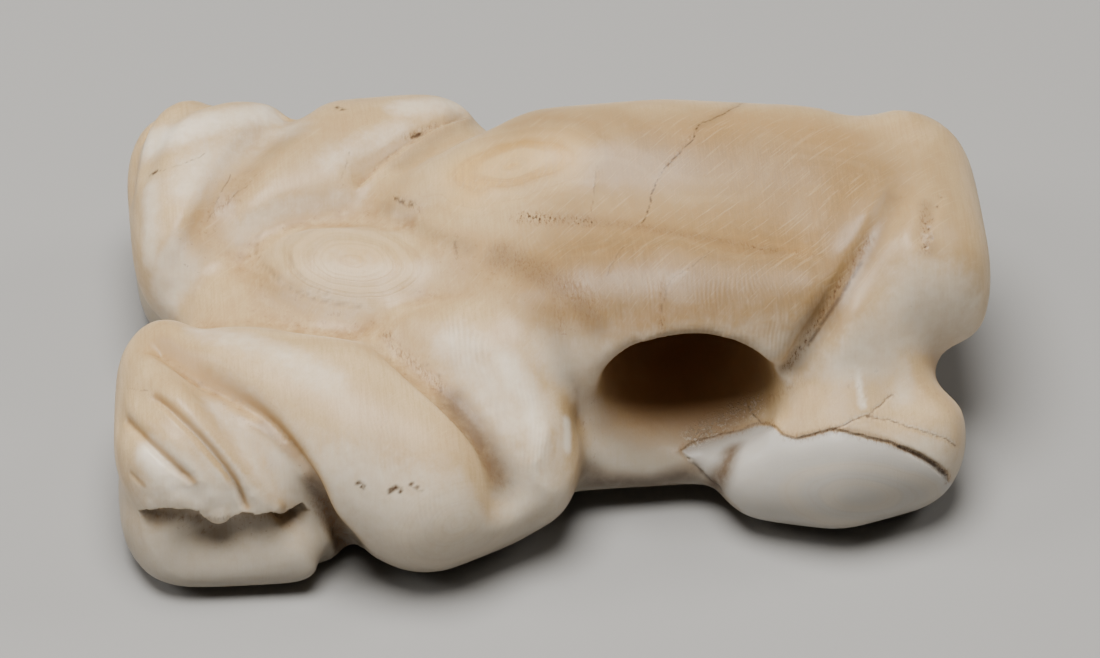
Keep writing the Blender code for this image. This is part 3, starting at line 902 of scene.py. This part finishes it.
def maths(operation, first, second=0.0, third=0.0):
    """One sum on numbers."""
    node = tree_nodes.new("ShaderNodeMath")
    node.operation = operation
    for socket, value in enumerate((first, second, third)):
        put(node, socket, value)
    return node.outputs[0]


def vector_maths(operation, first, second=(0, 0, 0), third=(0, 0, 0)):
    """One sum on vectors."""
    node = tree_nodes.new("ShaderNodeVectorMath")
    node.operation = operation
    for socket, value in enumerate((first, second, third)):
        if operation == "MULTIPLY_ADD" or socket < 2:
            put(node, socket, value)
    return node.outputs["Value"] if operation == "LENGTH" else node.outputs["Vector"]


# %% Helpers for patterns and colours
def rise(value, low, high):
    """0 below low, 1 above high and an even rise between them."""
    node = tree_nodes.new("ShaderNodeMapRange")
    node.interpolation_type = "SMOOTHSTEP"
    put(node, "Value", value)
    put(node, "From Min", low)
    put(node, "From Max", high)
    return node.outputs["Result"]


def noise(where, scale, detail, roughness=0.5):
    """Noise in space, as a number from 0 to 1 and as a colour."""
    node = tree_nodes.new("ShaderNodeTexNoise")
    put(node, "Vector", where)
    put(node, "Scale", scale)
    put(node, "Detail", detail)
    put(node, "Roughness", roughness)
    return node.outputs["Fac"], node.outputs["Color"]


def noise_along(value, scale, detail):
    """Noise along one number, for bands."""
    node = tree_nodes.new("ShaderNodeTexNoise")
    node.noise_dimensions = "1D"
    put(node, "W", value)
    put(node, "Scale", scale)
    put(node, "Detail", detail)
    return node.outputs["Fac"]


def blend(amount, first, second):
    """Go from one colour to another."""
    node = tree_nodes.new("ShaderNodeMix")
    node.data_type = "RGBA"
    put(node, 0, amount)
    put(node, 6, first)
    put(node, 7, second)
    return node.outputs[2]


def tint(colour, towards, amount, share):
    """Take a share of the way to another colour, times the amount at each place."""
    return blend(maths("MULTIPLY", amount, share), colour, towards)


def layer(name):
    """What was painted on the skin under this name."""
    node = tree_nodes.new("ShaderNodeAttribute")
    node.attribute_name = name
    return node.outputs["Fac"]


# %% Lay down the layers of the shell
place_in_metres = tree_nodes.new("ShaderNodeTexCoord").outputs["Object"]
place = vector_maths("MULTIPLY", place_in_metres, (1000, 1000, 1000))
DRIFT = 5.0
LAYER_CENTRE_DEPTH = 4.5
LENGTH_SHARE = 0.22
drift = noise(place, 0.09, 1.0)[1]
drifted = vector_maths("MULTIPLY_ADD", drift, (DRIFT, DRIFT, DRIFT), place)
to_centre = (0.0, -DRIFT / 2, LAYER_CENTRE_DEPTH - DRIFT / 2)
squeezed = vector_maths("MULTIPLY_ADD", drifted, (LENGTH_SHARE, 1.0, 1.0), to_centre)
depth_in_shell = vector_maths("LENGTH", squeezed)
broad_bands = noise_along(depth_in_shell, 0.85, 1.5)
fine_bands = noise_along(depth_in_shell, 3.4, 1.0)

# %% Let the growth lines cross the flanks
wander = noise(place, 0.25, 1.0)[0]
separate = tree_nodes.new("ShaderNodeSeparateXYZ")
put(separate, 0, place)
GROWTH_LINE_PITCH = 0.28
run = maths("MULTIPLY_ADD", separate.outputs[1], 0.06, separate.outputs[0])
run = maths("MULTIPLY_ADD", wander, 1.8, run)
waves = maths("SINE", maths("MULTIPLY", run, 2 * math.pi / GROWTH_LINE_PITCH))
growth_lines = maths("MULTIPLY_ADD", waves, 0.5, 0.5)
patchy = rise(noise(place, 0.5, 2.0)[0], 0.35, 0.65)
lines_seen = maths("MULTIPLY", maths("MULTIPLY", growth_lines, layer("striae")), patchy)

# %% Name the colours of the shell
CREAM = (0.54, 0.38, 0.195, 1.0)
HONEY = (0.22, 0.128, 0.047, 1.0)
# the dark grey of the painted shade low down
LOW_SHADE_GREY = (0.21, 0.197, 0.172, 1.0)
LIGHT_CREAM = (0.70, 0.53, 0.31, 1.0)
TAN = (0.38, 0.225, 0.085, 1.0)
WHITISH = (0.84, 0.76, 0.63, 1.0)
BARE_WHITE = (0.47, 0.44, 0.39, 1.0)
AMBER = (0.60, 0.35, 0.09, 1.0)
BROWN = (0.20, 0.10, 0.035, 1.0)
SHADE_AND_STAIN_BROWN = (0.13, 0.083, 0.045, 1.0)
DARK_BROWN = (0.075, 0.037, 0.016, 1.0)
TUNNEL_SHADE_BROWN = (0.36, 0.20, 0.085, 1.0)

# %% Make the clouds, the grit and the scratches
SCRATCH_TURN = math.radians(40)
SCRATCH_SIZE = (2.5, 0.11, 0.5)
clouds = noise(place, 0.22, 3.0)[0]
mottle = noise(place, 1.6, 3.0, 0.6)[0]
grain = noise(place, 7.0, 3.0, 0.65)[0]
specks = rise(noise(place, 3.2, 2.0, 0.7)[0], 0.62, 0.70)
grit = noise(vector_maths("MULTIPLY", place, (14.0, 7.0, 7.0)), 1.0, 2.0, 0.6)[0]
scratch_frame = tree_nodes.new("ShaderNodeMapping")
scratch_frame.vector_type = "TEXTURE"
put(scratch_frame, "Vector", place)
put(scratch_frame, "Rotation", (0.0, 0.0, SCRATCH_TURN))
put(scratch_frame, "Scale", SCRATCH_SIZE)
scratches = rise(noise(scratch_frame.outputs["Vector"], 1.0, 2.0)[0], 0.56, 0.70)

# %% Mix the tones of the shell
colour = tint(CREAM, LIGHT_CREAM, rise(broad_bands, 0.2, 0.8), 0.5)
colour = tint(colour, TAN, rise(clouds, 0.35, 0.75), 0.35)
colour = tint(colour, HONEY, layer("honey"), 0.85)
colour = tint(colour, AMBER, layer("amber"), 0.8)
brushed = noise(vector_maths("MULTIPLY", place, (7.5, 0.5, 0.7)), 1.0, 3.0, 0.65)[0]
colour = tint(colour, TAN, rise(brushed, 0.38, 0.68), 0.32)
colour = tint(colour, TAN, rise(grit, 0.48, 0.66), 0.22)
warmth = maths("MULTIPLY", layer("warm"), rise(mottle, 0.1, 0.75))
colour = tint(colour, TAN, warmth, 0.85)
colour = tint(colour, LIGHT_CREAM, scratches, 0.15)
uneven = maths("MULTIPLY_ADD", mottle, 0.5, maths("MULTIPLY_ADD", brushed, 0.3, -0.4))
paleness = rise(maths("ADD", layer("pale"), uneven), 0.0, 1.15)
colour = tint(colour, WHITISH, paleness, 0.9)
# painted shade: a dark grey tint on the lower parts
colour = tint(colour, LOW_SHADE_GREY, layer("low"), 0.7)
colour = tint(colour, LIGHT_CREAM, rise(fine_bands, 0.44, 0.66), 0.04)
colour = tint(colour, TAN, layer("wall"), 0.75)
colour = blend(layer("bare"), colour, BARE_WHITE)

# %% Add the rings, the washes of painted shade and stain, the dirt and the painted shade in the tunnel
ring_run = maths("MULTIPLY_ADD", noise(place, 0.4, 1.0)[0], 0.5, layer("ring_run"))
broad_rings = maths("MULTIPLY", rise(noise_along(ring_run, 1.5, 1.0), 0.35, 0.65), layer("ring_share"))
thin_rings = maths("MULTIPLY", rise(noise_along(ring_run, 5.5, 1.0), 0.52, 0.64), layer("ring_share"))
colour = tint(colour, LIGHT_CREAM, broad_rings, 0.35)
colour = tint(colour, TAN, thin_rings, 0.16)
# the washes: painted shade in the recesses, valleys and undersides and over the near flank, and brown stain
# elsewhere
wash = maths("MULTIPLY", layer("wash"), rise(mottle, -0.5, 0.7))
colour = tint(colour, SHADE_AND_STAIN_BROWN, wash, 0.65)
colour = tint(colour, BROWN, lines_seen, 0.22)
dirt = maths("MULTIPLY", layer("dirt"), rise(mottle, 0.25, 0.8))
colour = tint(colour, BROWN, dirt, 0.5)
upright = vector_maths("MULTIPLY", place, (8.0, 3.0, 3.0))
# brown stains, and the painted shade under the toe tips
stain = maths("MULTIPLY", layer("stain"), rise(noise(upright, 1.0, 3.0, 0.7)[0], 0.45, 0.66))
colour = tint(colour, BROWN, stain, 0.75)
colour = blend(rise(stain, 0.7, 1.2), colour, DARK_BROWN)
# whitish flakes, whitened in part as painted glints
flaky_glints = maths("MULTIPLY", layer("flakes"), rise(noise(place, 5.0, 3.0, 0.8)[0], 0.50, 0.60))
colour = tint(colour, WHITISH, flaky_glints, 0.7)
colour = tint(colour, BROWN, specks, maths("MULTIPLY", layer("warm"), 0.4))
# painted shade: brown inside the tunnel
colour = tint(colour, TUNNEL_SHADE_BROWN, layer("tunnel"), rise(clouds, -0.2, 0.6))
crack = maths("MULTIPLY", layer("crack"), rise(mottle, 0.1, 0.55))
colour = blend(rise(crack, 0.1, 0.8), colour, DARK_BROWN)
put(surface, "Base Color", colour)

# %% Polish it and give it a fine relief
RELIEF_DEPTH = 0.02 * MM
LIGHT_REACH = 0.6 * MM
roughness = maths("MULTIPLY_ADD", mottle, 0.20, 0.32)
roughness = maths("MULTIPLY_ADD", layer("dirt"), 0.25, roughness)
roughness = maths("MULTIPLY_ADD", stain, 0.25, roughness)
roughness = maths("MULTIPLY_ADD", scratches, 0.08, roughness)
roughness = maths("MULTIPLY_ADD", layer("tunnel"), 0.2, roughness)
put(surface, "Roughness", roughness)
relief = maths("MULTIPLY", lines_seen, -0.35)
relief = maths("MULTIPLY_ADD", fine_bands, 0.06, relief)
relief = maths("MULTIPLY_ADD", thin_rings, -0.28, relief)
relief = maths("MULTIPLY_ADD", scratches, -0.12, relief)
relief = maths("MULTIPLY_ADD", grain, 0.30, relief)
relief = maths("MULTIPLY_ADD", brushed, 0.35, relief)
relief = maths("MULTIPLY_ADD", flaky_glints, 2.5, relief)
relief = maths("MULTIPLY_ADD", stain, -0.6, relief)
bump = tree_nodes.new("ShaderNodeBump")
put(bump, "Height", relief)
put(bump, "Strength", 1.0)
put(bump, "Distance", RELIEF_DEPTH)
put(surface, "Normal", bump.outputs["Normal"])
put(surface, "Subsurface Weight", 0.25)
put(surface, "Subsurface Radius", (1.0, 0.8, 0.55))
put(surface, "Subsurface Scale", LIGHT_REACH)
put(surface, "IOR", 1.53)
put(surface, "Specular IOR Level", 0.36)
put(surface, "Coat Weight", 0.06)
put(surface, "Coat Roughness", 0.2)
skin.data.materials.append(shell)
skin.data.shade_smooth()
print("material nodes:", len(tree_nodes))

# %% [markdown]
# ## The light and the floor
# A plain pale floor and soft studio light, as for a museum's record picture. A large soft box
# hangs above, and two weaker ones at the sides light the walls of the grooves.

# %% Lay the floor
FLOOR_SIZE = 1.2
FLOOR_GAP = 0.02 * MM
PAPER_GREY = (0.32, 0.315, 0.305, 1.0)
bpy.ops.object.select_all(action="DESELECT")
bpy.ops.mesh.primitive_plane_add(size=FLOOR_SIZE, location=(0.0, 0.0, -FLOOR_GAP))
floor = bpy.context.object
floor.name = "pale_floor"
paper = bpy.data.materials.new("pale_paper")
paper.use_nodes = True
paper_surface = paper.node_tree.nodes["Principled BSDF"]
paper_surface.inputs["Base Color"].default_value = PAPER_GREY
paper_surface.inputs["Roughness"].default_value = 0.6
floor.data.materials.append(paper)

# %% Hang the lights
STUDIO_AIR = (0.9, 0.92, 0.95, 1.0)
AIR_STRENGTH = 0.03


def soft_box(name, place, size, power, colour):
    """A round lamp that looks at the amulet."""
    turn = Vector(place).to_track_quat("Z", "Y").to_euler()
    bpy.ops.object.light_add(type="AREA", location=place, rotation=turn)
    lamp = bpy.context.object
    lamp.name = name
    lamp.data.shape = "DISK"
    lamp.data.size = size
    lamp.data.energy = power
    lamp.data.color = colour
    print(name, "gives", power, "W")


soft_box("key_light", (-0.03, -0.01, 0.30), size=0.20, power=1.72, colour=(1.0, 0.98, 0.95))
soft_box("left_light", (-0.24, 0.00, 0.16), size=0.10, power=0.28, colour=(1.0, 0.98, 0.96))
soft_box("right_light", (0.24, 0.05, 0.20), size=0.12, power=0.24, colour=(1.0, 0.97, 0.94))
world = bpy.data.worlds.new("studio")
world.use_nodes = True
world.node_tree.nodes["Background"].inputs["Color"].default_value = STUDIO_AIR
world.node_tree.nodes["Background"].inputs["Strength"].default_value = AIR_STRENGTH
bpy.context.scene.world = world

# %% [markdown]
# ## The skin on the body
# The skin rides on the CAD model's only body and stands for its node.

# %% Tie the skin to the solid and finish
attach(skin, "root")
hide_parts(SOLID)
